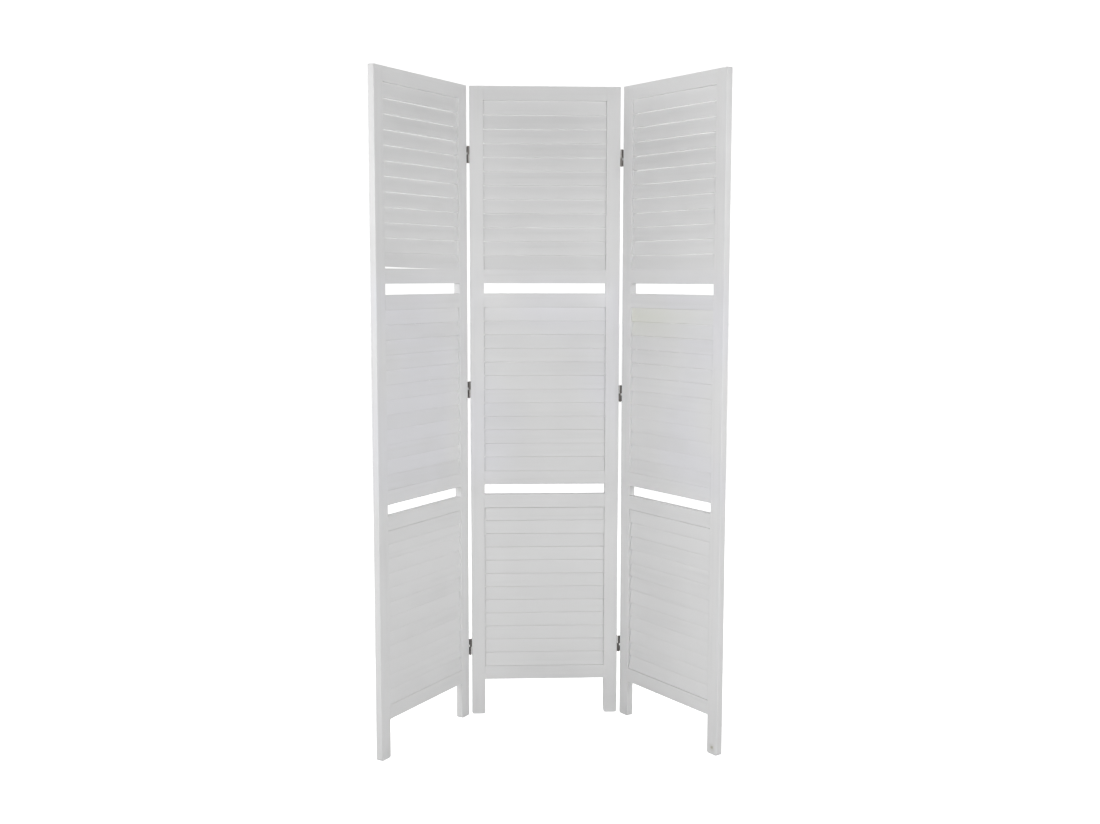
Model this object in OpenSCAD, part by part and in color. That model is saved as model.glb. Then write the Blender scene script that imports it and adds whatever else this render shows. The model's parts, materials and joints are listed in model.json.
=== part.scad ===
// Three-panel folding screen with louvred panels
// Each panel is a frame of two stiles and six rails, with three banks of fixed slats and two open slots.
// The wings hang on double-action hinges, so each can fold to the front or to the back.
// The centre panel's mid-plane runs along X, the front faces -Y, and the feet stand at Z = 0.

/* [Panels] */
// Width of one panel
panel_w = 400; // [340:5:480]
// Height of the screen
panel_h = 1700; // [1600:5:1800]
// Thickness of the frame
frame_t = 18; // [17:0.5:24]
// Width of each stile, the upright of a frame
stile_w = 37; // [34:0.5:50]
// Height of each rail, the crosspiece of a frame
rail_w = 37; // [30:0.5:45]
// Height of the open slots between the louvre banks
slot_h = 27; // [15:1:45]
// Height of the legs below the bottom rail
leg_h = 98; // [60:1:140]
// Angle that both wings are folded to the front
wing_fold = 58; // [40:1:80]

/* [Edges] */
// Rounding of the frame's outer edges
edge_r = 1.5; // [0.5:0.1:3]
// Rounding of the edges where stiles and rails meet
joint_edge_r = 0.6; // [0.3:0.1:1.5]
// Rounding of each foot's corners
foot_r = 6; // [2:0.5:10]
// Rounding of the top corners
top_r = 2; // [1:0.5:6]

/* [Louvres] */
// Number of slats in one bank
slats = 12; // [9:1:15]
// Thickness of a slat
slat_t = 5; // [4:0.1:5.5]
// Rounding of a slat's edges
slat_r = 1; // [0.5:0.1:2]
// Lean of the slats from upright, front edge low
slat_lean = 10; // [9:0.5:18]
// Gap between two slats, seen level from the front
slat_gap = 0.2; // [-1:0.1:3]
// Gap between a bank and the rails above and below it
bank_gap = 0.3; // [0.2:0.1:3]

/* [Joinery] */
// Depth of the housings that hold the slats' ends
housing_d = 5; // [3:0.5:8]
// Play of a slat's tongue in its housing
housing_play = 0.15; // [0.1:0.05:0.3]
// Gap between a slat's shoulders and the stiles
shoulder_gap = 1; // [0.3:0.1:1.5]
// Step from a slat's faces down to its tongues
shoulder_h = 0.8; // [0.4:0.1:1.2]
// Length of a rail's tenon
tenon_l = 20; // [12:0.5:21]
// Thickness of a tenon
tenon_t = 8; // [5:0.5:10]
// Height of a tenon
tenon_h = 25; // [16:0.5:28]
// Glue space round a tenon
tenon_play = 0.1; // [0.05:0.05:0.3]

/* [Hinges] */
// Gap between two panels in line
panel_gap = 7.6; // [7:0.1:12]
// Height of a hinge
hinge_h = 44; // [40:1:60]
// How far the hinge pins stand out from the frame's faces
pin_proud = 1.5; // [0.5:0.1:3]
// Radius of a hinge pin
pin_r = 1.2; // [1:0.05:1.3]
// Play of a pin in its knuckle, on the radius
pin_play = 0.05; // [0.02:0.01:0.1]
// Thickness of the hinge's sheet metal
leaf_t = 1; // [0.8:0.1:1.2]
// Distance from a leaf's edges to the frame's faces
leaf_inset = 0.5; // [0.3:0.1:2]
// Gap between two knuckles on one pin
knuckle_gap = 0.4; // [0.3:0.1:1]
// Space between a knuckle and the plates that pass it
knuckle_space = 0.6; // [0.4:0.1:1]
// Thickness of a pin's riveted head
pin_head_t = 0.8; // [0.5:0.1:1.5]
// Rounding of the free corners of leaves and links
leaf_corner_r = 3; // [1:0.5:4]
// Height of the relief cuts beside a link's knuckles
relief_h = 6; // [3:0.5:8]
// Depth of the relief cuts
relief_d = 2.5; // [1:0.5:4]
// Middle height of the left hinge near the floor
left_low_hinge_z = 190; // [165:1:230]
// How far the left hinge half way up sits above half the screen's height
left_middle_hinge_lift = 49; // [10:1:90]
// How far the left hinge near the top sits below the screen's top
left_high_hinge_drop = 178; // [160:1:220]
// Middle height of the right hinge near the floor
right_low_hinge_z = 195; // [165:1:230]
// How far the right hinge half way up sits above half the screen's height
right_middle_hinge_lift = 38; // [10:1:90]
// How far the right hinge near the top sits below the screen's top
right_high_hinge_drop = 185; // [160:1:220]

/* [Screws] */
// Radius of a screw's shank
screw_r = 1.5; // [1.2:0.1:1.8]
// Radius of a screw's countersunk head
screw_head_r = 2.9; // [2.5:0.1:3.4]
// Length of a screw
screw_l = 16; // [10:0.5:16]
// Height between two neighbouring screws in a leaf
screw_pitch = 14.5; // [12:0.5:16]
// Distance of the screws to the front and back of a leaf's middle line
screw_stagger = 3.2; // [0:0.1:4]
// Play of a screw in its hole
screw_play = 0.05; // [0.03:0.01:0.1]

/* [Hidden] */
$fn = 48;
// Slack that lets a cut run clear of a face
cut = 1;
// Space left behind tenons, slat ends and screw tips
end_space = 0.5;
// Least rounding that an edge keeps
least_r = 0.1;

// Frame
opening_w = panel_w - 2 * stile_w;
rails = 6;
banks = 3;
bank_h = (panel_h - leg_h - rails * rail_w - 2 * slot_h) / banks;
bank_step = bank_h + 2 * rail_w + slot_h;
function bank_z(bank) = leg_h + rail_w + bank * bank_step;
function rail_z(rail) = rail % 2 == 0 ? bank_z(rail / 2) - rail_w : bank_z((rail - 1) / 2) + bank_h;

// Louvres: the slats fill a bank's height, and their width follows from that
slat_rise = (bank_h - 2 * bank_gap - (slats - 1) * slat_gap) / slats;
slat_pitch = slat_rise + slat_gap;
slat_w = (slat_rise - 2 * slat_r - (slat_t - 2 * slat_r) * sin(slat_lean)) / cos(slat_lean) + 2 * slat_r;
function slat_z(bank, slat) = bank_z(bank) + bank_gap + slat_rise / 2 + slat * slat_pitch;

// Hinges
pin_x = (panel_w + panel_gap) / 2;
front_pin_y = -frame_t / 2 - pin_proud;
pin_span = frame_t + 2 * pin_proud;
knuckle_bore_r = pin_r + pin_play;
knuckle_r = knuckle_bore_r + leaf_t;
knuckle_h = (hinge_h - knuckle_gap) / 2;
plate_start = knuckle_r + knuckle_space;
leaf_w = frame_t - 2 * leaf_inset;
leaf_x = panel_gap / 2 - leaf_t;
low_z = [left_low_hinge_z, right_low_hinge_z];
middle_z = [for (lift = [left_middle_hinge_lift, right_middle_hinge_lift]) panel_h / 2 + lift];
high_z = [for (drop = [left_high_hinge_drop, right_high_hinge_drop]) panel_h - drop];
function hinge_heights(side) = [low_z[side], middle_z[side], high_z[side]];

// The floor below the middle of the folded screen is the origin
wing_reach = (panel_w + panel_gap / 2 - edge_r) * sin(wing_fold)
    - (pin_proud + edge_r) * cos(wing_fold) + edge_r;
middle_y = (front_pin_y - wing_reach + frame_t / 2) / 2;

PANELS = ["centre", "left_wing", "right_wing"];
STILES = ["left_stile", "right_stile"];
RAILS = ["bottom_rail", "low_slot_sill", "low_slot_head", "high_slot_sill", "high_slot_head", "top_rail"];
BANKS = ["bottom_louvres", "middle_louvres", "top_louvres"];
SIDES = ["left", "right"];
LEVELS = ["low", "middle", "high"];
HINGE_PARTS = ["centre_leaf", "link", "wing_leaf"];
FIXINGS = ["front_hinge_pins", "back_hinge_pins", "centre_hinge_screws", "wing_hinge_screws"];

// Rectangle from the origin with a radius at each corner, from the low left one anticlockwise
module rounded_rect(w, h, r) {
    difference() {
        square([w, h]);
        corner_cut(r[0]);
        translate([w, 0]) rotate(90) corner_cut(r[1]);
        translate([w, h]) rotate(180) corner_cut(r[2]);
        translate([0, h]) rotate(270) corner_cut(r[3]);
    }
}

// What rounding takes off a corner at the origin
module corner_cut(r) {
    difference() {
        translate([-cut, -cut]) square(cut + r);
        translate([r, r]) circle(r);
        translate([r, -2 * cut]) square(2 * cut + r);
        translate([-2 * cut, r]) square(2 * cut + r);
    }
}

// Turns an outline in YZ into a bar along X
module bar_along_x(length) {
    rotate([90, 0, 90]) linear_extrude(length, center = true) children();
}

// Section of a slat, shrunk for its tongues and grown again by their play for the housings
module slat_section(grow = 0) {
    w = slat_w + 2 * grow;
    t = slat_t + 2 * grow;
    r = max(slat_r + grow, least_r);
    rotate(-slat_lean) translate([-t / 2, -w / 2]) rounded_rect(t, w, [r, r, r, r]);
}

// Stile at a panel's left edge: hinge_zs are the heights of the hinges on its outer edge
module left_stile(hinge_zs, stagger) {
    color("whitesmoke") difference() {
        translate([-panel_w / 2, 0, 0]) intersection() {
            translate([0, -frame_t / 2, 0]) linear_extrude(panel_h)
                rounded_rect(stile_w, frame_t, [edge_r, joint_edge_r, joint_edge_r, edge_r]);
            rotate([90, 0, 0]) linear_extrude(frame_t + 2 * cut, center = true)
                rounded_rect(stile_w, panel_h, [foot_r, foot_r, top_r, top_r]);
        }
        for (rail = [0 : rails - 1]) mortise(rail_z(rail) + rail_w / 2);
        for (bank = [0 : banks - 1], slat = [0 : slats - 1]) housing(slat_z(bank, slat));
        for (z = hinge_zs) translate([-pin_x, front_pin_y, z]) leaf_screws(stagger) screw_body(screw_play);
    }
}

module right_stile(hinge_zs, stagger) {
    mirror([1, 0, 0]) left_stile(hinge_zs, stagger);
}

// Hole for a rail's tenon in the left stile
module mortise(z) {
    depth = tenon_l + end_space;
    translate([-opening_w / 2 - depth, -tenon_t / 2 - tenon_play, z - tenon_h / 2 - tenon_play])
        cube([depth + cut, tenon_t + 2 * tenon_play, tenon_h + 2 * tenon_play]);
}

// Sloping groove for a slat's tongue in the left stile
module housing(z) {
    translate([-opening_w / 2 + (cut - housing_d) / 2, 0, z])
        bar_along_x(housing_d + cut) slat_section(housing_play - shoulder_h);
}

// Rail with a tenon at each end
module rail(z) {
    color("white") translate([0, 0, z]) {
        translate([0, -frame_t / 2, 0]) bar_along_x(opening_w)
            rounded_rect(frame_t, rail_w, [joint_edge_r, joint_edge_r, joint_edge_r, joint_edge_r]);
        translate([0, 0, rail_w / 2]) cube([opening_w + 2 * tenon_l, tenon_t, tenon_h], center = true);
    }
}

// Bank of separate slats between two rails
module louvres(bank) {
    color("snow") for (slat = [0 : slats - 1]) translate([0, 0, slat_z(bank, slat)]) {
        bar_along_x(opening_w - 2 * shoulder_gap) slat_section();
        bar_along_x(opening_w + 2 * (housing_d - end_space)) slat_section(-shoulder_h);
    }
}

// Hinge parts are drawn for a left hinge, with the front pin at the origin and the centre panel at +X

// Leaf that is screwed to the centre panel's edge, with its knuckle in the upper half
module hinge_leaf() {
    wall_r = knuckle_bore_r + leaf_t / 2;
    color("dimgray") difference() {
        union() {
            translate([leaf_x + leaf_t / 2, pin_proud + leaf_inset, -hinge_h / 2]) bar_along_x(leaf_t)
                rounded_rect(leaf_w, hinge_h, [least_r, leaf_corner_r, leaf_corner_r, least_r]);
            translate([0, 0, knuckle_gap / 2]) linear_extrude(knuckle_h) {
                circle(knuckle_r);
                polygon([
                    [wall_r, 0],
                    [leaf_x + leaf_t, plate_start],
                    [leaf_x, plate_start + leaf_t],
                    [wall_r * cos(60), wall_r * sin(60)]
                ]);
            }
        }
        cylinder(r = knuckle_bore_r, h = hinge_h);
        leaf_screws() screw_body(screw_play);
    }
}

// The wing's leaf is the same piece, turned to the other pin and the other panel
module wing_leaf() {
    translate([0, pin_span, 0]) rotate([0, 0, 180]) hinge_leaf();
}

// Outline of a link from pin to pin: the upper half stands clear of the leaves' knuckles
module link_outline() {
    tab_w = pin_span - 2 * plate_start;
    translate([0, -hinge_h / 2]) square([pin_span, knuckle_h]);
    translate([plate_start + relief_d, -hinge_h / 4]) square([tab_w - 2 * relief_d, hinge_h / 2]);
    translate([plate_start, relief_h])
        rounded_rect(tab_w, hinge_h / 2 - relief_h, [least_r, least_r, leaf_corner_r, leaf_corner_r]);
}

// Link between the two pins, with both knuckles in the lower half
module hinge_link() {
    color("gray") difference() {
        union() {
            bar_along_x(leaf_t) link_outline();
            for (y = [0, pin_span]) translate([0, y, -hinge_h / 2]) cylinder(r = knuckle_r, h = knuckle_h);
        }
        for (y = [0, pin_span]) translate([0, y, 0])
            cylinder(r = knuckle_bore_r, h = hinge_h + 2 * cut, center = true);
    }
}

// Pin with a riveted head at each end
module hinge_pin() {
    color("silver") {
        cylinder(r = pin_r, h = hinge_h + 2 * pin_play, center = true);
        for (end = [0, 1]) mirror([0, 0, end]) translate([0, 0, hinge_h / 2 + pin_play])
            cylinder(r1 = knuckle_r, r2 = pin_r, h = pin_head_t);
    }
}

// Puts children at the three screws of a leaf, pointing into the wood: stagger is -1 on a wing
module leaf_screws(stagger = 1) {
    for (row = [-1 : 1])
        translate([leaf_x, pin_span / 2 + stagger * (row == 0 ? -1 : 1) * screw_stagger, row * screw_pitch])
            rotate([0, 90, 0]) children();
}

// Countersunk screw from its head at the origin to its tip at +Z, grown by play for its hole
module screw_body(play = 0) {
    head_h = screw_head_r - screw_r;
    tip_h = 2 * screw_r;
    translate([0, 0, -play]) cylinder(r1 = screw_head_r + play, r2 = screw_r + play, h = head_h);
    cylinder(r = screw_r + play, h = screw_l - tip_h);
    translate([0, 0, screw_l - tip_h]) cylinder(r1 = screw_r + play, r2 = play + 0.1, h = tip_h);
}

module screw() {
    recess_w = screw_r / 2;
    recess_l = screw_head_r * 1.2;
    color("darkgray") difference() {
        screw_body();
        cube([recess_w, recess_l, 2 * recess_w], center = true);
        cube([recess_l, recess_w, 2 * recess_w], center = true);
    }
}

// Places, where side 0 is left and side 1 is right

// Moves the whole screen over the origin
module standing() {
    translate([0, -middle_y, 0]) children();
}

// Puts a hinge part at a pin between the centre panel and a wing, turned end for end on the right
module at_hinge(side, z, fold = 0) {
    sign = side == 0 ? 1 : -1;
    standing() translate([-sign * pin_x, front_pin_y, z]) rotate([0, 0, sign * fold])
        rotate([0, 180 * side, 0]) children();
}

// Puts a panel in its place: 0 centre, 1 left wing, 2 right wing
module at_panel(panel) {
    if (panel == 0) {
        standing() children();
    } else {
        sign = panel == 1 ? 1 : -1;
        standing() translate([-sign * pin_x, front_pin_y, 0]) rotate([0, 0, sign * wing_fold])
            translate([-sign * pin_x, -front_pin_y, 0]) children();
    }
}

// Heights of the hinges on a panel's left and right edges
function edge_hinges(panel, edge) =
    panel == 0 ? hinge_heights(edge) : panel - 1 == 1 - edge ? hinge_heights(panel - 1) : [];
// A wing's leaves are turned, and their screws with them
function edge_stagger(panel) = panel == 0 ? 1 : -1;

for (p = [0 : 2]) {
    at_panel(p) left_stile(edge_hinges(p, 0), edge_stagger(p));
    at_panel(p) right_stile(edge_hinges(p, 1), edge_stagger(p));
    for (i = [0 : rails - 1]) at_panel(p) rail(rail_z(i));
    for (i = [0 : banks - 1]) at_panel(p) louvres(i);
}
for (s = [0, 1], i = [0 : 2]) {
    hinge = str(SIDES[s], "_", LEVELS[i], "_hinge_");
    z = hinge_heights(s)[i];
    at_hinge(s, z) hinge_leaf();
    at_hinge(s, z, wing_fold) hinge_link();
    at_hinge(s, z, wing_fold) wing_leaf();
}
for (s = [0, 1]) {
    heights = hinge_heights(s);
    for (z = heights) at_hinge(s, z) hinge_pin();
    for (z = heights) at_hinge(s, z, wing_fold) translate([0, pin_span, 0]) hinge_pin();
    for (z = heights) at_hinge(s, z) leaf_screws() screw();
    for (z = heights) at_hinge(s, z, wing_fold) translate([0, pin_span, 0]) rotate([0, 0, 180])
            leaf_screws() screw();
}
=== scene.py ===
"""Dresses a three-panel louvred folding screen in thin white paint, with bronzed steel hinges.

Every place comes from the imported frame. Pieces are modelled in a panel's own axes, where X runs along
the panel, Y from its front to its back and Z up, and then turned into their place in the screen.
"""

import json
import logging
import math
import random
from dataclasses import dataclass, replace
from enum import Enum

import bmesh
import bpy
from mathutils import Matrix, Vector


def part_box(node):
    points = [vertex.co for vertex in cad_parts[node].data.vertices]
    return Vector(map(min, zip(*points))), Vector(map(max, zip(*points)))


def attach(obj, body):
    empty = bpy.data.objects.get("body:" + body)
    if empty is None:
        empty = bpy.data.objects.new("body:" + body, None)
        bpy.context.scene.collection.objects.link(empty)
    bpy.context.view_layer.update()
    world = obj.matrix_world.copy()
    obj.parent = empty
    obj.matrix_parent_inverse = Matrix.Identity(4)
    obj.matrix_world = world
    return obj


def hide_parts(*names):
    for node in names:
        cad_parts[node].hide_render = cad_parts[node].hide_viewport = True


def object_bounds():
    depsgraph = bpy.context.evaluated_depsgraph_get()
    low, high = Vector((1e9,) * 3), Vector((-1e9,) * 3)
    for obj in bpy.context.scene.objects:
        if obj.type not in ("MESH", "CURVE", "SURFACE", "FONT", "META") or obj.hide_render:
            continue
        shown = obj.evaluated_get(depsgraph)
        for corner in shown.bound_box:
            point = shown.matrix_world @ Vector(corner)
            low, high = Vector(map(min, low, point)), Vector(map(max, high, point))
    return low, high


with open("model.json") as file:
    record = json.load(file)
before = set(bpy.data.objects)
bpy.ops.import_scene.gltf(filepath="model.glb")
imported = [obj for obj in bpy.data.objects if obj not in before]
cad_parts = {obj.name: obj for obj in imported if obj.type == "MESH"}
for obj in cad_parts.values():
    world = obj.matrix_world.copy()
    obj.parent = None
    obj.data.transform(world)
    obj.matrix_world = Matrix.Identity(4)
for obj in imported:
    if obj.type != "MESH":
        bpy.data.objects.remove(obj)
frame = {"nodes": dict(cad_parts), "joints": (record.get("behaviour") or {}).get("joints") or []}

LOG = logging.getLogger("screen")
MM = 0.001
CAD_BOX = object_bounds()
WHITE = (1.0, 1.0, 1.0, 1.0)
TOLERANCE = 0.1 * MM
SHARP_ANGLE = math.radians(40)
FACING = 0.9  # the least share of a face's normal along an axis that it looks along

Colour = tuple[float, float, float]
Point = tuple[float, float, float]
Range = tuple[float, float]
Socket = bpy.types.NodeSocket


def linear(colour: Colour) -> tuple[float, float, float, float]:
    """Turns an sRGB colour into the linear one that shaders take.

    Args:
        colour: red, green and blue from 0 to 255.

    Returns:
        The linear colour with an alpha of 1.
    """
    parts = [value / 255 for value in colour]
    return (*(p / 12.92 if p <= 0.04045 else ((p + 0.055) / 1.055) ** 2.4 for p in parts), 1.0)


class Grain(Enum):
    """Which way the wood's grain runs in a panel."""

    UP = "up"
    ACROSS = "across"


class PanelName(Enum):
    """The three panels, by the first words of their nodes."""

    CENTRE = "centre"
    LEFT_WING = "left_wing"
    RIGHT_WING = "right_wing"


class Level(Enum):
    """The three louvre banks of a panel, from the lowest up."""

    BOTTOM = "bottom"
    MIDDLE = "middle"
    TOP = "top"


class NodeTree:
    """A node tree being made, with short ways to add and join its nodes."""

    def __init__(self, tree: bpy.types.NodeTree) -> None:
        """Starts with the nodes that the tree already has."""
        self.nodes = tree.nodes
        self.links = tree.links

    def join(self, value: object, socket: Socket) -> None:
        """Links an output to an input, or sets the input to a plain value.

        Args:
            value: the output socket or the plain value.
            socket: the input socket.
        """
        if isinstance(value, Socket):
            self.links.new(value, socket)
        else:
            socket.default_value = value

    def add(self, kind: str, inputs: dict | None = None, **settings: object) -> bpy.types.Node:
        """Adds a node.

        Args:
            kind: the node's type, such as ShaderNodeMath.
            inputs: a plain value or an output socket for each input, by its name or number.
            settings: the node's own properties.

        Returns:
            The new node.
        """
        node = self.nodes.new(kind)
        for key, value in settings.items():
            setattr(node, key, value)
        for key, value in (inputs or {}).items():
            self.join(value, node.inputs[key])
        return node

    def maths(self, operation: str, a: object, b: object) -> Socket:
        """Joins two values by an operation such as ADD or MULTIPLY, and gives the result."""
        return self.add("ShaderNodeMath", {0: a, 1: b}, operation=operation).outputs[0]

    def mix(self, factor: object, a: object, b: object) -> Socket:
        """Mixes two colours, where a factor of 0 gives the first and 1 the second."""
        return self.add("ShaderNodeMix", {0: factor, 6: a, 7: b}, data_type="RGBA").outputs[2]

    def span(self, value: Socket, low: float, high: float, to: Range = (0.0, 1.0)) -> Socket:
        """Maps a value smoothly from one range to another.

        Args:
            value: the value.
            low: what maps to the first end.
            high: what maps to the second end, which may be lower.
            to: the two ends of the result.

        Returns:
            The mapped value.
        """
        inputs = {"Value": value, "From Min": low, "From Max": high, "To Min": to[0], "To Max": to[1]}
        return self.add("ShaderNodeMapRange", inputs, interpolation_type="SMOOTHSTEP").outputs[0]


class Shader(NodeTree):
    """A material being made, with the patterns that the finishes share."""

    def __init__(self, name: str) -> None:
        """Starts the material with a bare Principled shader.

        Args:
            name: the material's name.
        """
        self.material = bpy.data.materials.new(name)
        self.material.use_nodes = True
        super().__init__(self.material.node_tree)
        self.surface = self.nodes["Principled BSDF"]

    def feed(self, name: str, value: object) -> None:
        """Gives one of the surface's inputs a pattern or a plain value."""
        self.join(value, self.surface.inputs[name])

    def attribute(self, name: str) -> Socket:
        """Reads a number that the mesh holds at each vertex."""
        return self.add("ShaderNodeAttribute", attribute_name=name).outputs["Fac"]

    def place(self) -> Socket:
        """Gives the place on the object, in the screen's frame."""
        return self.add("ShaderNodeTexCoord").outputs["Object"]

    def position(self, turn: float, scale: Point = (1.0, 1.0, 1.0)) -> Socket:
        """Gives the place on the object along a panel's axes.

        Args:
            turn: the panel's turn about Z, in radians.
            scale: how much each axis is stretched after the turn.

        Returns:
            The coordinate output.
        """
        turned = self.add("ShaderNodeMapping", {"Vector": self.place(), "Rotation": (0, 0, -turn)})
        return self.add("ShaderNodeMapping", {"Vector": turned.outputs[0], "Scale": scale}).outputs[0]

    def noise(self, vector: Socket, scale: float, detail: float) -> Socket:
        """Adds a noise pattern and gives its value.

        Args:
            vector: the coordinates.
            scale: the pattern's scale.
            detail: how many finer layers it has.

        Returns:
            The value output, about 0.5 on average.
        """
        inputs = {"Vector": vector, "Scale": scale, "Detail": detail}
        return self.add("ShaderNodeTexNoise", inputs).outputs[0]

    def edges(self, radius: float) -> Socket:
        """Finds edges by comparing the true normal with a rounded one.

        Args:
            radius: how far from an edge the rounding starts.

        Returns:
            0 on flat faces, rising to 1 at sharp edges.
        """
        flat, sharp = 0.995, 0.8
        rounded = self.add("ShaderNodeBevel", {"Radius": radius}, samples=4).outputs[0]
        true = self.add("ShaderNodeNewGeometry").outputs["Normal"]
        likeness = self.add("ShaderNodeVectorMath", {0: rounded, 1: true}, operation="DOT_PRODUCT")
        return self.span(likeness.outputs["Value"], flat, sharp)

    def bump(self, height: Socket, strength: float, distance: float) -> None:
        """Puts a bump on the surface.

        Args:
            height: the height pattern.
            strength: how strongly it shows.
            distance: the height in metres of a value of 1.
        """
        inputs = {"Height": height, "Strength": strength, "Distance": distance}
        self.feed("Normal", self.add("ShaderNodeBump", inputs).outputs[0])


@dataclass(frozen=True)
class Knot:
    """A knot that shows through the paint.

    Attributes:
        place: its middle, in the panel's own axes, with the panel's middle at the origin.
        radius: its size.
        colour: the stain's colour.
        core: where the stain begins and where it is full, in radii from the middle.
        core_strength: how much of its colour shows there.
        halo: where the paler ring around it begins and is full, in radii from the middle.
        halo_strength: how much of its colour shows in that ring.
        raggedness: the scale of the noise that makes its outline ragged.
    """

    place: Point
    radius: float
    colour: Colour = (172, 169, 152)
    core: Range = (1.6, 0.7)
    core_strength: float = 0.9
    halo: Range = (2.4, 1.2)
    halo_strength: float = 0.25
    raggedness: float = 240.0

    def stain(self, shader: Shader, colour: Socket) -> Socket:
        """Lays the stain over the paint's colour.

        Args:
            shader: the material being made.
            colour: the paint's colour.

        Returns:
            The colour with the stain.
        """
        place = shader.place()
        away = shader.add("ShaderNodeVectorMath", {0: place, 1: self.place}, operation="DISTANCE")
        wobble = shader.noise(place, scale=self.raggedness, detail=2.0)
        wobble = shader.maths("MULTIPLY", wobble, self.radius)
        reach = shader.maths("ADD", away.outputs["Value"], wobble)
        core = shader.span(reach, *(radii * self.radius for radii in self.core))
        core = shader.maths("MULTIPLY", core, self.core_strength)
        halo = shader.span(
            reach, *(radii * self.radius for radii in self.halo), to=(0.0, self.halo_strength),
        )
        return shader.mix(shader.maths("MAXIMUM", core, halo), colour, linear(self.colour))


@dataclass(frozen=True)
class WhitePaint:
    """Thin matt white paint, brushed over softwood whose grain shows faintly.

    Attributes:
        coat: the paint's colour where it lies thick.
        thin: its colour where the grain shows.
        thinning: how much the grain and soft clouds thin the paint.
        fibres: the grain's scale along the fibres and across them.
        cool: the paint's colour in faint cool patches.
        cool_band: the heights between which those patches lie.
        cool_fade: how far they fade out above and below that band.
        aged: the colour of slats whose paint has yellowed.
        bare_and_highlight: the colour at the edges, lighter than the coat: partly wear and partly a
            painted highlight along the arrises.
        edge_amount: how much of that colour shows there.
        wear_width: how far it reaches from an edge.
        roughness: the paint's roughness, from its glossiest strokes to its dullest.
        gloss: the strength of its reflections.
        relief: the height of the grain and the brush strokes.
    """

    coat: Colour = (224, 224, 224)
    thin: Colour = (214, 214, 214)
    thinning: float = 0.4
    fibres: Range = (2.5, 70.0)
    cool: Colour = (223, 223, 226)
    cool_band: Range = (0.65, 1.2)
    cool_fade: float = 0.05
    aged: Colour = (220, 221, 213)
    bare_and_highlight: Colour = (228, 228, 227)
    edge_amount: float = 0.35
    wear_width: float = 1.2 * MM
    roughness: Range = (0.49, 0.65)
    gloss: float = 0.3
    relief: float = 0.5 * MM

    def material(
        self, name: str, grain: Grain, turn: float, knot: Knot | None = None,
    ) -> bpy.types.Material:
        """Makes the paint for pieces whose grain runs one way.

        Args:
            name: the material's name.
            grain: which way the grain runs.
            turn: the panel's turn about Z.
            knot: a knot that shows through, if there is one, with its place in the screen's frame.

        Returns:
            The material.
        """
        shader = Shader(name)
        along, across = self.fibres
        stretch = (across, across, along) if grain is Grain.UP else (along, across, across)
        wood = shader.position(turn, stretch)
        lines = shader.noise(wood, scale=1.0, detail=5.0)
        strokes = shader.noise(wood, scale=9.0, detail=2.0)
        colour = self._colour(shader, turn, lines)
        shader.feed("Base Color", knot.stain(shader, colour) if knot else colour)
        shader.feed("Roughness", shader.span(strokes, low=0.2, high=0.8, to=self.roughness))
        shader.feed("Specular IOR Level", self.gloss)
        coarse = shader.maths("MULTIPLY", lines, 0.6)
        fine = shader.maths("MULTIPLY", strokes, 0.4)
        shader.bump(shader.maths("ADD", coarse, fine), strength=0.35, distance=self.relief)
        return shader.material

    def _colour(self, shader: Shader, turn: float, lines: Socket) -> Socket:
        """Colours the paint. It is thin over the grain, cool in patches and yellowed. It is lighter on
        the slats as a painted lift against their shade, and lighter at the edges, partly from wear and
        partly as a painted highlight.

        Args:
            shader: the material being made.
            turn: the panel's turn about Z.
            lines: the grain's pattern.

        Returns:
            The colour.
        """
        clouds = shader.noise(shader.position(turn), scale=5.0, detail=2.0)
        over_grain = shader.span(lines, low=0.45, high=0.8)
        in_clouds = shader.span(clouds, low=0.35, high=0.75)
        thinness_and_lift = shader.maths("MULTIPLY", shader.maths("ADD", over_grain, in_clouds), self.thinning)
        # The slats' tone lies mostly below 0: besides random tone, a painted lift against the shade in
        # their recess.
        thinness_and_lift = shader.maths("ADD", thinness_and_lift, shader.attribute("tone"))
        coat = shader.mix(self._patches(shader, turn), linear(self.coat), linear(self.cool))
        colour = shader.mix(thinness_and_lift, coat, linear(self.thin))
        blotches = shader.span(clouds, low=0.3, high=0.6, to=(0.6, 1.0))
        yellowing = shader.maths("MULTIPLY", shader.attribute("age"), blotches)
        colour = shader.mix(yellowing, colour, linear(self.aged))
        # Lighter edges: partly worn paint, partly a painted highlight along the arrises.
        edge_mix = shader.maths("MULTIPLY", shader.edges(self.wear_width), self.edge_amount)
        return shader.mix(edge_mix, colour, linear(self.bare_and_highlight))

    def _patches(self, shader: Shader, turn: float) -> Socket:
        """Spreads the cool patches.

        Args:
            shader: the material being made.
            turn: the panel's turn about Z.

        Returns:
            How cool the paint is, from 0 to 1.
        """
        place, fade = shader.position(turn), self.cool_fade
        height = shader.add("ShaderNodeSeparateXYZ", {0: place}).outputs["Z"]
        low, high = self.cool_band
        above = shader.span(height, low - fade, low + fade)
        inside = shader.maths("MULTIPLY", above, shader.span(height, high + fade, high - fade))
        blotches = shader.span(shader.noise(place, scale=2.6, detail=1.0), low=0.4, high=0.55)
        return shader.maths("MULTIPLY", inside, blotches)


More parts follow.
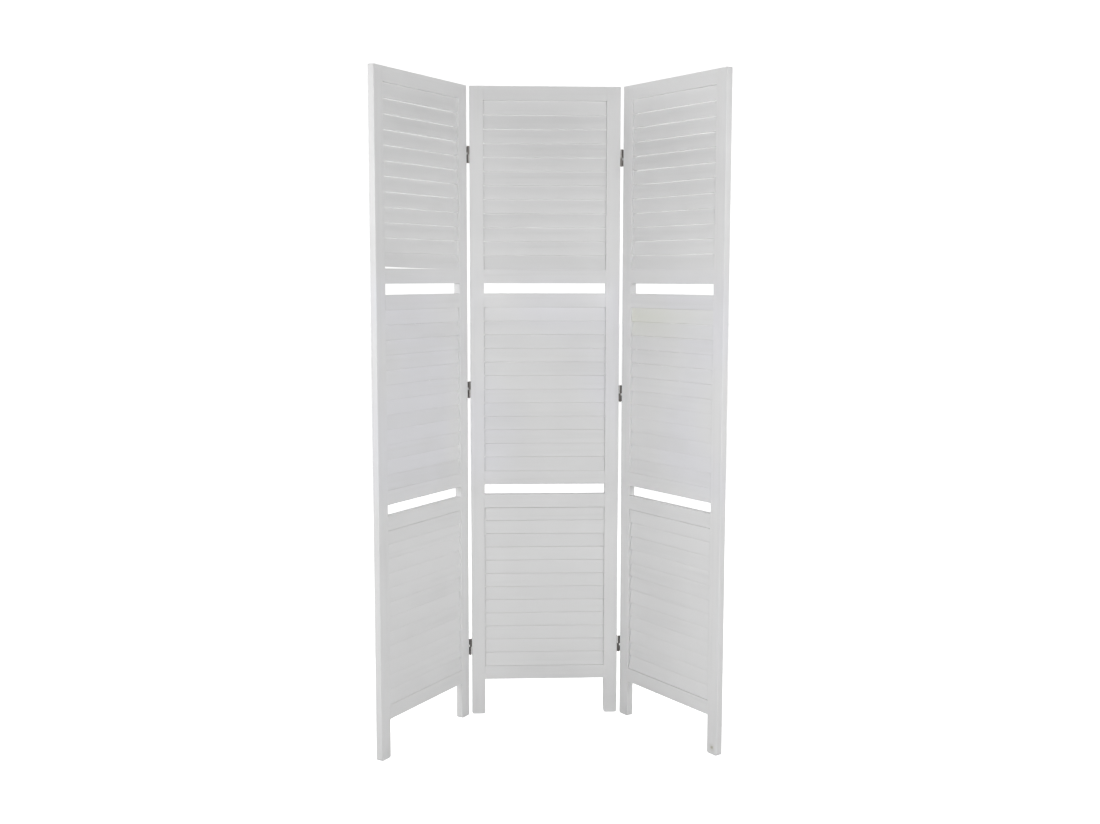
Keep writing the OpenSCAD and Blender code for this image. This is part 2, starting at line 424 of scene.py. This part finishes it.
@dataclass(frozen=True)
class BronzedSteel:
    """Dark bronzed sheet steel, rubbed brighter at its edges.

    Attributes:
        coat: the finish's colour.
        rubbed: the colour of worn metal.
        speckling: how much of that colour shows in fine specks.
        edge_amount: how much of it shows at worn edges, from the least worn to the most.
        wear_width: how far the wear reaches from an edge.
        metallic: how metallic it is.
        roughness: its roughness, from its glossiest patches to its dullest.
        relief: the height of its specks.
    """

    coat: Colour = (108, 105, 102)
    rubbed: Colour = (146, 141, 134)
    speckling: float = 0.2
    edge_amount: Range = (0.25, 0.9)
    wear_width: float = 0.4 * MM
    metallic: float = 0.75
    roughness: Range = (0.34, 0.56)
    relief: float = 0.05 * MM

    def material(self, name: str) -> bpy.types.Material:
        """Makes the finish.

        Args:
            name: the material's name.

        Returns:
            The material.
        """
        shader = Shader(name)
        place = shader.place()
        specks = shader.noise(place, scale=900.0, detail=4.0)
        patches = shader.noise(place, scale=90.0, detail=3.0)
        speckled = shader.maths("MULTIPLY", shader.span(specks, low=0.5, high=0.7), self.speckling)
        colour = shader.mix(speckled, linear(self.coat), linear(self.rubbed))
        edge_amount = shader.span(patches, low=0.35, high=0.65, to=self.edge_amount)
        edge_mix = shader.maths("MULTIPLY", shader.edges(self.wear_width), edge_amount)
        shader.feed("Base Color", shader.mix(edge_mix, colour, linear(self.rubbed)))
        shader.feed("Roughness", shader.span(patches, low=0.3, high=0.7, to=self.roughness))
        shader.feed("Metallic", self.metallic)
        shader.bump(specks, strength=0.25, distance=self.relief)
        return shader.material


@dataclass(frozen=True)
class Placement:
    """Where a panel stands in the screen.

    Attributes:
        name: which panel it is.
        body: the moving body that it belongs to.
        matrix: takes the panel's own axes, with its middle at the origin, into the screen's frame.
        turn: the panel's turn about Z.
    """

    name: PanelName
    body: str
    matrix: Matrix
    turn: float

    @classmethod
    def of(cls, name: PanelName) -> "Placement":
        """Works a panel's place out from the centre stile and the hinge joints.

        Args:
            name: which panel.

        Returns:
            Its placement.
        """
        low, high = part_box("centre_left_stile")
        middle = Matrix.Translation((0, (low.y + high.y) / 2, 0))
        if name is PanelName.CENTRE:
            return cls(name, "centre_panel", middle, 0.0)
        side = name.value.split("_")[0]
        joint = next(j for j in frame["joints"] if j["name"] == f"{side}_front_fold")
        pin = Vector((joint["pos_m"][0], joint["pos_m"][1], 0))
        turn = -math.radians(joint["range_deg"][0]) * joint["axis"][2]
        hinge_edge = Vector((-pin.x, pin.y - middle.translation.y, 0))
        at_pin = Matrix.Translation(pin) @ Matrix.Rotation(turn, 4, "Z")
        return cls(name, name.value, at_pin @ Matrix.Translation(-hinge_edge), turn)


def add_object(
    bm: bmesh.types.BMesh, name: str, place: Matrix, finish: bpy.types.Material,
) -> bpy.types.Object:
    """Makes an object of a finished mesh, with its place in the mesh.

    Args:
        bm: the mesh in its own axes. It is freed.
        name: the object's name.
        place: takes those axes into the screen's frame.
        finish: the material.

    Returns:
        The new object.
    """
    bmesh.ops.transform(bm, matrix=place, verts=bm.verts)
    mesh = bpy.data.meshes.new(name)
    bm.to_mesh(mesh)
    bm.free()
    mesh.materials.append(finish)
    mesh.shade_smooth()
    mesh.set_sharp_from_angle(angle=SHARP_ANGLE)
    made = bpy.data.objects.new(name, mesh)
    bpy.context.scene.collection.objects.link(made)
    return made


def dress_node(name: str, finish: bpy.types.Material) -> None:
    """Gives a CAD node its finish.

    Args:
        name: the node's name.
        finish: the material.
    """
    node = frame["nodes"][name]
    if not node.material_slots:
        node.data.materials.append(finish)
    for held in node.material_slots:
        held.material = finish
    LOG.info("dressed %s", name)


@dataclass(frozen=True)
class Slack:
    """How far one slat strays from its true place, as hand-fitted slats do.

    Attributes:
        lean: more lean, in degrees.
        lift: how far the left end has sprung up.
        bow: how far the middle bends to the back.
        wind: the twist from end to end, in degrees.
        ripple: small rises and falls along the slat, from its left end to its right.
    """

    lean: float = 0.0
    lift: float = 0.0
    bow: float = 0.0
    wind: float = 0.0
    ripple: tuple[float, ...] = (0.0, 0.0)

    @classmethod
    def drawn(
        cls, chance: random.Random, stations: int, stray: float = 0.4, wave: float = 0.1,
    ) -> "Slack":
        """Draws a slat's slack at random.

        Args:
            chance: the seeded generator.
            stations: how many rises and falls the ripple has.
            stray: the spread of the lean and the twist in degrees, and of the bow in millimetres.
            wave: the spread of the ripple in millimetres.

        Returns:
            The slack.
        """
        lean, bow, wind = chance.gauss(0, stray), chance.gauss(0, stray) * MM, chance.gauss(0, stray)
        ripple = tuple(chance.gauss(0, wave) * MM for _ in range(stations))
        return cls(lean=lean, bow=bow, wind=wind, ripple=ripple)

    def rise(self, part: float) -> float:
        """Gives how far the slat stands over its true place.

        Args:
            part: the place along the slat, from -1 at its left end to 1 at its right.

        Returns:
            The rise in metres.
        """
        along = (part + 1) / 2 * (len(self.ripple) - 1)
        before = min(int(along), len(self.ripple) - 2)
        share = along - before
        wave = self.ripple[before] * (1 - share) + self.ripple[before + 1] * share
        return wave + self.lift * ((1 - part) / 2) ** 2


@dataclass(frozen=True)
class Seat:
    """How the lowest or uppermost slat of a bank meets the rail beside it.

    Attributes:
        reach: how far its edge reaches over to the rail, or less than 0 where it leaves a slit.
        forward: how far that edge is set forward, so that the rail's inner face shows less.
    """

    reach: float = 0.2 * MM
    forward: float = 2.5 * MM


@dataclass(frozen=True)
class Fit:
    """How the slats of one bank are shaped and fitted.

    Attributes:
        gap: the gap between two slats, seen level from the front.
        rounding: the rounding of a slat's long edges.
        lean: a slat's lean from upright, front edge low, in degrees.
        shoulder_gap: the gap between a slat's shoulders and the stiles.
        lowest: how the lowest slat meets its rail.
        uppermost: how the uppermost slat meets its rail.
    """

    gap: float = 0.1 * MM
    rounding: float = 1.0 * MM
    lean: float = 9.0
    shoulder_gap: float = 0.1 * MM
    lowest: Seat = Seat()
    uppermost: Seat = Seat()


# The fine lines between slats follow from these. Wider gaps let light through at the top, while rounder
# edges and slits make dark lines at the bottom.
FITS = {
    (PanelName.CENTRE, Level.TOP): Fit(
        gap=0.16 * MM, rounding=0.85 * MM, lean=7.0, shoulder_gap=1.5 * MM,
    ),
    (PanelName.CENTRE, Level.MIDDLE): Fit(rounding=1.9 * MM, shoulder_gap=1.5 * MM),
    (PanelName.CENTRE, Level.BOTTOM): Fit(
        rounding=2.4 * MM, shoulder_gap=1.5 * MM,
        lowest=Seat(reach=-0.1 * MM), uppermost=Seat(reach=-0.85 * MM, forward=7.0 * MM),
    ),
    (PanelName.LEFT_WING, Level.TOP): Fit(gap=0.25 * MM),
    (PanelName.LEFT_WING, Level.MIDDLE): Fit(),
    (PanelName.LEFT_WING, Level.BOTTOM): Fit(uppermost=Seat(reach=-1.0 * MM, forward=7.0 * MM)),
    (PanelName.RIGHT_WING, Level.TOP): Fit(gap=0.35 * MM),
    (PanelName.RIGHT_WING, Level.MIDDLE): Fit(rounding=0.85 * MM, lean=7.0),
    (PanelName.RIGHT_WING, Level.BOTTOM): Fit(
        shoulder_gap=1.2 * MM,
        lowest=Seat(reach=-0.8 * MM), uppermost=Seat(reach=-1.2 * MM, forward=7.0 * MM),
    ),
}


@dataclass(frozen=True)
class SlatSize:
    """The sizes that the slats of one bank share.

    Attributes:
        length: a slat's whole length, with its tongues.
        body: the length between its shoulders.
        width: its width.
        rise: the height that it takes up when it leans.
    """

    length: float
    body: float
    width: float
    rise: float


@dataclass
class LouvreBank:
    """One bank of fixed slats between two rails.

    Attributes:
        place: the panel that holds it.
        level: which bank it is.
        finish: the slats' paint.
        slats: how many slats it has.
        thickness: a slat's thickness.
        shoulder: the step from a slat's edges down to its tongues.
        tongue: a tongue's thickness as a share of what that step would leave.
        steps: how many stretches a slat's length has, so that it can bend.
        lift_and_tones: the range of a slat's random tone, where a higher one is a thinner paint. It
            lies mostly below 0. That is a painted lift, which draws the slats lighter than the stiles
            to make up for the shade in their recess.
        yellow: how yellow an aged slat is at its middle, and how much less so at its right end
            than at its left.
    """

    place: Placement
    level: Level
    finish: bpy.types.Material
    slats: int = 12
    thickness: float = 5 * MM
    shoulder: float = 0.8 * MM
    tongue: float = 0.4
    steps: int = 10
    lift_and_tones: Range = (-0.35, 0.1)
    yellow: Range = (0.65, 0.7)

    @property
    def node(self) -> str:
        """The name of the CAD node that this bank stands for."""
        return f"{self.place.name.value}_{self.level.value}_louvres"

    @property
    def fit(self) -> Fit:
        """How this bank's slats are shaped and fitted."""
        return FITS[self.place.name, self.level]

    def build(self) -> None:
        """Builds the bank from its lowest slat up, as one piece in place of its CAD node."""
        low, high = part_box(self.node)
        size = self._size(high.z - low.z)
        model = self._slat(size)
        chance = random.Random(self.node)
        middle, drop = self.yellow
        bm = bmesh.new()
        tone, age = bm.verts.layers.float.new("tone"), bm.verts.layers.float.new("age")
        for index in range(self.slats):
            slack = self._special_slack(index) or Slack.drawn(chance, self.steps + 1)
            start = len(bm.verts)
            bm.from_mesh(model)
            bm.verts.ensure_lookup_table()
            made = bm.verts[start:]
            self._fit_slat(made, index, size, slack)
            centre = low.z + size.rise / 2 + index * (size.rise + self.fit.gap)
            bmesh.ops.translate(bm, vec=(0, 0, centre), verts=made)
            # A random tone, held mostly below 0 as a painted lift against the shade in the slats'
            # recess.
            shade = chance.uniform(*self.lift_and_tones)
            for vert in made:
                vert[tone] = shade
                vert[age] = self._age(index) * (middle - drop * vert.co.x / size.length)
        bpy.data.meshes.remove(model)
        piece = add_object(bm, f"{self.node}_painted", self.place.matrix, self.finish)
        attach(piece, self.place.body)
        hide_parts(self.node)
        LOG.info("built %s with %d slats", piece.name, self.slats)

    def _size(self, height: float) -> SlatSize:
        """Works the slats' sizes out. Lengths are measured at the centre panel, which isn't turned.

        Args:
            height: the bank's height.

        Returns:
            The sizes.
        """
        low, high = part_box("centre_bottom_louvres")
        left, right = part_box("centre_left_stile")[1].x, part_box("centre_right_stile")[0].x
        rise = (height - (self.slats - 1) * self.fit.gap) / self.slats
        lean, rounded = math.radians(self.fit.lean), 2 * self.fit.rounding
        flat = (rise - rounded - (self.thickness - rounded) * math.sin(lean)) / math.cos(lean)
        body = right - left - 2 * self.fit.shoulder_gap
        return SlatSize(length=high.x - low.x, body=body, width=flat + rounded, rise=rise)

    def _special_slack(self, index: int) -> Slack | None:
        """Gives the slack of the one slat that the photograph shows out of line.

        Args:
            index: the slat's number, from 0 at the bottom.

        Returns:
            Its slack, or None for all other slats.
        """
        if self.place.name is PanelName.LEFT_WING and self.level is Level.TOP and index == 0:
            return Slack(lift=4.3 * MM)
        return None

    def _age(self, index: int) -> float:
        """Tells how yellow a slat's paint is, as the photograph shows it on two slats.

        Args:
            index: the slat's number, from 0 at the bottom.

        Returns:
            How much it has aged, from 0 to 1.
        """
        if self.place.name is PanelName.RIGHT_WING and self.level is Level.MIDDLE:
            return {self.slats - 1: 1.0, self.slats - 2: 0.5}.get(index, 0.0)
        return 0.0

    def _slat(self, size: SlatSize) -> bpy.types.Mesh:
        """Models one straight slat, upright with its middle at the origin.

        Args:
            size: its sizes.

        Returns:
            Its mesh, along X.
        """
        bm = bmesh.new()
        bmesh.ops.create_cube(bm, size=1.0)
        bmesh.ops.scale(bm, vec=(size.body, self.thickness, size.width), verts=bm.verts)
        bmesh.ops.bevel(
            bm, geom=self._long_edges(bm, size.body), offset=self.fit.rounding, offset_type="OFFSET",
            segments=3, profile=0.5, affect="EDGES", material=-1,
        )
        bmesh.ops.subdivide_edges(
            bm, edges=self._long_edges(bm, size.body), cuts=self.steps - 1, use_grid_fill=True,
        )
        ends = [face for face in bm.faces if abs(face.normal.x) > FACING]
        bmesh.ops.inset_region(bm, faces=ends, thickness=self.shoulder, use_even_offset=True)
        for side in (-1, 1):
            # The inset cap is the only face at an end with more than four corners.
            end = [face for face in bm.faces if face.normal.x * side > FACING and len(face.verts) > 4]
            bmesh.ops.scale(bm, vec=(1, self.tongue, 1), verts=end[0].verts)
            grown = bmesh.ops.extrude_face_region(bm, geom=end)
            verts = [item for item in grown["geom"] if isinstance(item, bmesh.types.BMVert)]
            bmesh.ops.translate(bm, vec=(side * (size.length - size.body) / 2, 0, 0), verts=verts)
            bmesh.ops.delete(bm, geom=end, context="FACES_ONLY")
        bmesh.ops.recalc_face_normals(bm, faces=bm.faces)
        mesh = bpy.data.meshes.new("slat")
        bm.to_mesh(mesh)
        bm.free()
        return mesh

    def _long_edges(self, bm: bmesh.types.BMesh, body: float) -> list[bmesh.types.BMEdge]:
        """Lists the edges that run along a slat from shoulder to shoulder.

        Args:
            bm: the slat's mesh.
            body: the length between its shoulders.

        Returns:
            Those edges.
        """
        return [edge for edge in bm.edges if abs(edge.verts[0].co.x - edge.verts[1].co.x) > body / 2]

    def _fit_slat(
        self, verts: list[bmesh.types.BMVert], index: int, size: SlatSize, slack: Slack,
    ) -> None:
        """Leans one slat with its slack, and seats its edge at the rail if it lies beside one.

        Args:
            verts: the slat's vertices.
            index: the slat's number, from 0 at the bottom.
            size: its sizes.
            slack: how it strays.
        """
        seats = {0: (-1, self.fit.lowest), self.slats - 1: (1, self.fit.uppermost)}
        side, seat = seats.get(index, (0, None))
        edge = [vert for vert in verts if seat and self._is_edge(vert, side, size)]
        for vert in verts:
            part = 2 * vert.co.x / size.length
            lean = math.radians(self.fit.lean + slack.lean + slack.wind * part / 2)
            vert.co = Matrix.Rotation(-lean, 3, "X") @ vert.co
            vert.co.y += slack.bow * (1 - part * part)
            vert.co.z += slack.rise(part)
        for vert in edge:
            vert.co.y -= seat.forward
            vert.co.z = side * (size.rise / 2 + seat.reach) + slack.rise(2 * vert.co.x / size.length)

    def _is_edge(self, vert: bmesh.types.BMVert, side: int, size: SlatSize) -> bool:
        """Tells whether a vertex of an upright slat belongs to one long edge, between its shoulders.

        Args:
            vert: the vertex.
            side: -1 for the lower edge, 1 for the upper one.
            size: the slat's sizes.

        Returns:
            True if it does.
        """
        inner = size.width / 2 - self.fit.rounding - TOLERANCE
        return abs(vert.co.x) < size.body / 2 + TOLERANCE and side * vert.co.z > inner


@dataclass
class Panel:
    """One panel: its frame of stiles and rails, and its three louvre banks.

    Attributes:
        place: where the panel stands.
        paint: the finish of all its wood.
        knot: a knot that shows through the paint of its right stile, if there is one.
        rails: its rails, from the lowest to the top one.
    """

    place: Placement
    paint: WhitePaint
    knot: Knot | None = None
    rails: tuple[str, ...] = (
        "bottom_rail", "low_slot_sill", "low_slot_head", "high_slot_sill", "high_slot_head", "top_rail",
    )

    def build(self) -> None:
        """Dresses the frame and builds the banks."""
        name = self.place.name.value
        upright = self.paint.material(f"{name}_stile_paint", Grain.UP, self.place.turn)
        across = self.paint.material(f"{name}_rail_paint", Grain.ACROSS, self.place.turn)
        dress_node(f"{name}_left_stile", upright)
        dress_node(f"{name}_right_stile", self._knotted() if self.knot else upright)
        for rail in self.rails:
            dress_node(f"{name}_{rail}", across)
        for level in Level:
            LouvreBank(self.place, level, across).build()

    def _knotted(self) -> bpy.types.Material:
        """Makes the paint of the stile that has the knot.

        Returns:
            The material.
        """
        name = f"{self.place.name.value}_knotted_paint"
        knot = replace(self.knot, place=tuple(self.place.matrix @ Vector(self.knot.place)))
        return self.paint.material(name, Grain.UP, self.place.turn, knot)


@dataclass
class Hinges:
    """The six double-action hinges.

    Attributes:
        steel: the finish of leaves and links.
        fixings: the finish of pins and screws.
    """

    steel: BronzedSteel
    fixings: BronzedSteel

    def build(self) -> None:
        """Dresses every hinge piece."""
        sheet = self.steel.material("hinge_steel")
        fixing = self.fixings.material("fixing_steel")
        for name in sorted(frame["nodes"]):
            if name.endswith(("_leaf", "_link")):
                dress_node(name, sheet)
            elif name.endswith(("_pins", "_screws")):
                dress_node(name, fixing)


@dataclass(frozen=True)
class PhotoCamera:
    """The camera that took the photograph, worked out from the corners of the panels.

    Attributes:
        place: where it stands, from the floor below the middle of the centre panel.
        yaw: its turn towards +X, in degrees.
        pitch: how far it looks down, in degrees.
        roll: its roll, in degrees.
        focal: its focal length in pixels of the photograph.
        image_width: the photograph's width in pixels.
        sensor_width: the width of the sensor that it is given, in millimetres.
        sight: how far it sees, in metres.
    """

    place: Point = (-0.1474, -3.4432, 1.2012)
    yaw: float = 2.69
    pitch: float = 6.03
    roll: float = 0.09
    focal: float = 1279.1
    image_width: float = 1100.0
    sensor_width: float = 36.0
    sight: float = 100.0

    def build(self, middle: Matrix) -> None:
        """Adds the camera and makes it the scene's.

        Args:
            middle: takes the centre panel's own axes into the screen's frame.
        """
        yaw, pitch, roll = (math.radians(v) for v in (self.yaw, self.pitch, self.roll))
        outward, downward = math.cos(pitch), math.sin(pitch)
        ahead = Vector((math.sin(yaw) * outward, math.cos(yaw) * outward, -downward))
        level = Vector((math.cos(yaw), -math.sin(yaw), 0))
        above = level.cross(ahead)
        right = math.cos(roll) * level + math.sin(roll) * above
        up = -math.sin(roll) * level + math.cos(roll) * above
        data = bpy.data.cameras.new("camera")
        data.sensor_width = self.sensor_width
        data.lens = self.focal / self.image_width * self.sensor_width
        data.clip_end = self.sight
        camera = bpy.data.objects.new("camera", data)
        turned = Matrix((right, up, -ahead)).transposed().to_4x4()
        camera.matrix_world = Matrix.Translation(middle @ Vector(self.place)) @ turned
        bpy.context.scene.collection.objects.link(camera)
        bpy.context.scene.camera = camera


@dataclass(frozen=True)
class Softbox:
    """A soft lamp.

    Attributes:
        name: the lamp's name.
        place: where it hangs.
        power: its power in watts.
        size: its width.
    """

    name: str
    place: Point
    power: float
    size: float = 1.2

    def build(self, target: Vector) -> None:
        """Adds the lamp, facing a point.

        Args:
            target: what it faces.
        """
        data = bpy.data.lights.new(self.name, "AREA")
        data.energy = self.power
        data.size = self.size
        lamp = bpy.data.objects.new(self.name, data)
        lamp.location = self.place
        lamp.rotation_euler = (target - lamp.location).to_track_quat("-Z", "Y").to_euler()
        lamp.visible_camera = False
        bpy.context.scene.collection.objects.link(lamp)


@dataclass(frozen=True)
class Studio:
    """A bright floor, a white surround and soft lamps on all sides.

    Attributes:
        ambient: the surround's light on the screen, where 1 is white.
        backdrop: how bright the surround looks to the camera, a little over white so that no noise
            shows.
        lamps: the lamps, from the photograph's own side to the back and the top.
        floor_colour: the floor's colour.
        floor_roughness: its roughness.
        floor_light: the light that it gives off, where 1 is white.
        floor_glow: how much brighter still it looks to the camera.
        floor_size: its width.
    """

    ambient: float = 0.04
    backdrop: float = 1.1
    lamps: tuple[Softbox, ...] = (
        Softbox("front", (0.0, -3.6, 1.4), power=58.5),
        Softbox("front_left", (-1.8, -2.6, 2.2), power=2.5),
        Softbox("front_right", (2.0, -3.0, 1.3), power=6.0),
        Softbox("near_left", (-1.9, -1.2, 1.5), power=11.0, size=0.6),
        Softbox("near_right", (1.9, -1.2, 1.5), power=11.9, size=0.6),
        Softbox("side_left", (-3.2, -0.6, 1.9), power=22.0),
        Softbox("back_left", (-2.0, 3.0, 2.4), power=45.0),
        Softbox("back_right", (2.0, 3.0, 2.4), power=45.0),
        Softbox("top", (0.0, 0.5, 3.2), power=8.0, size=0.6),
    )
    floor_colour: Colour = (228, 228, 228)
    floor_roughness: float = 0.9
    floor_light: float = 0.02
    floor_glow: float = 0.98
    floor_size: float = 60.0

    def build(self) -> None:
        """Adds the surround, the floor and the lamps."""
        self._surround()
        self._floor()
        low, high = CAD_BOX
        target = (low + high) / 2
        for lamp in self.lamps:
            lamp.build(target)
        bpy.context.scene.view_settings.view_transform = "Standard"

    def _surround(self) -> None:
        """Makes the world white to the eye and in reflections, and far dimmer as a light."""
        world = bpy.data.worlds.new("surround")
        world.use_nodes = True
        tree = NodeTree(world.node_tree)
        rays = tree.add("ShaderNodeLightPath").outputs
        seen = tree.maths("MULTIPLY", rays["Is Camera Ray"], self.backdrop)
        seen = tree.maths("MAXIMUM", seen, rays["Is Glossy Ray"])
        seen = tree.maths("MAXIMUM", seen, rays["Is Transmission Ray"])
        strength = tree.add("ShaderNodeMapRange", {"Value": seen, "To Min": self.ambient}, clamp=False)
        background = tree.nodes["Background"].inputs
        tree.join(WHITE, background["Color"])
        tree.join(strength.outputs[0], background["Strength"])
        bpy.context.scene.world = world

    def _floor(self) -> None:
        """Adds the floor, which glows so white to the camera that hardly any shadow shows on it."""
        shader = Shader("floor_white")
        shader.feed("Base Color", linear(self.floor_colour))
        shader.feed("Roughness", self.floor_roughness)
        shader.feed("Specular IOR Level", 0.0)
        shader.feed("Emission Color", WHITE)
        seen = shader.add("ShaderNodeLightPath").outputs["Is Camera Ray"]
        glow = shader.maths("MULTIPLY", seen, self.floor_glow)
        shader.feed("Emission Strength", shader.maths("ADD", glow, self.floor_light))
        bm = bmesh.new()
        bmesh.ops.create_grid(bm, x_segments=1, y_segments=1, size=self.floor_size / 2)
        floor = add_object(bm, "floor", Matrix(), shader.material)


def main() -> None:
    """Builds the screen and its studio, and reports each piece."""
    logging.basicConfig(level=logging.INFO, format="%(name)s: %(message)s")
    places = {name: Placement.of(name) for name in PanelName}
    PhotoCamera().build(places[PanelName.CENTRE].matrix)
    Studio().build()
    knots = {PanelName.RIGHT_WING: Knot(place=(182 * MM, -9 * MM, 18 * MM), radius=7 * MM)}
    for name, place in places.items():
        Panel(place, WhitePaint(), knots.get(name)).build()
    fixings = BronzedSteel(rubbed=(150, 145, 138), roughness=(0.28, 0.5))
    Hinges(BronzedSteel(), fixings).build()


if __name__ == "__main__":
    main()
